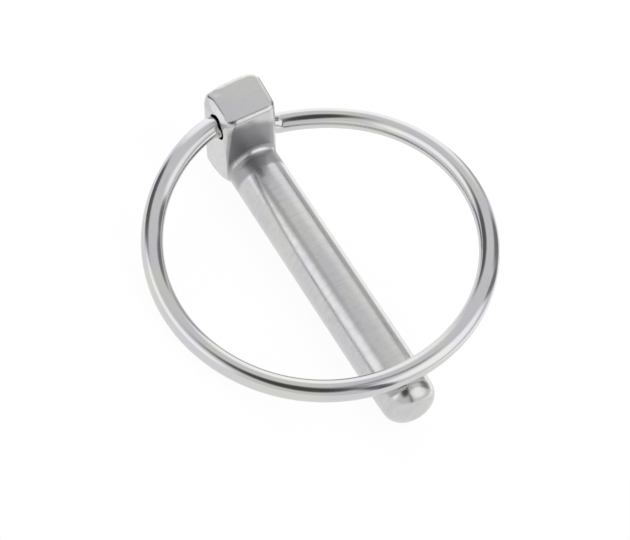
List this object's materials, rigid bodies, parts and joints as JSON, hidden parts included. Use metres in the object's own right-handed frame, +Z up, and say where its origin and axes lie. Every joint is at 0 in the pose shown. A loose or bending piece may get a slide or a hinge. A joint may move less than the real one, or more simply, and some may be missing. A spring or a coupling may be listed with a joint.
{
  "type": "lynch pin",
  "caption": "Quick-release lynch pin: a round shank with a block head and a sprung wire ring that swings over the nose to lock it.",
  "frame": {"origin": "on the shank's axis, at the middle of its plain gripping length", "axes": "+Y along the shank from its nose to its head, +Z up with the pin lying on its shank and the side of its ring, +X to the side that the head leans to"},
  "size_m": [0.0469, 0.0553, 0.0208],
  "materials": {
    "pin_steel": "polished stainless steel with faint turning marks round the shank",
    "ring_steel": "bright drawn stainless spring wire, polished"
  },
  "bodies": {
    "pin": {"pin": "pin_steel"},
    "ring": {"ring": "ring_steel"}
  },
  "joints": [
    {"name": "ring_hinge", "type": "hinge", "parent": "pin", "child": "ring", "pos_m": [-0.0029, 0.02434, 0.00643], "axis": [-0.9974, 0.0009, 0.0716], "range_deg": [0, 180]}
  ]
}
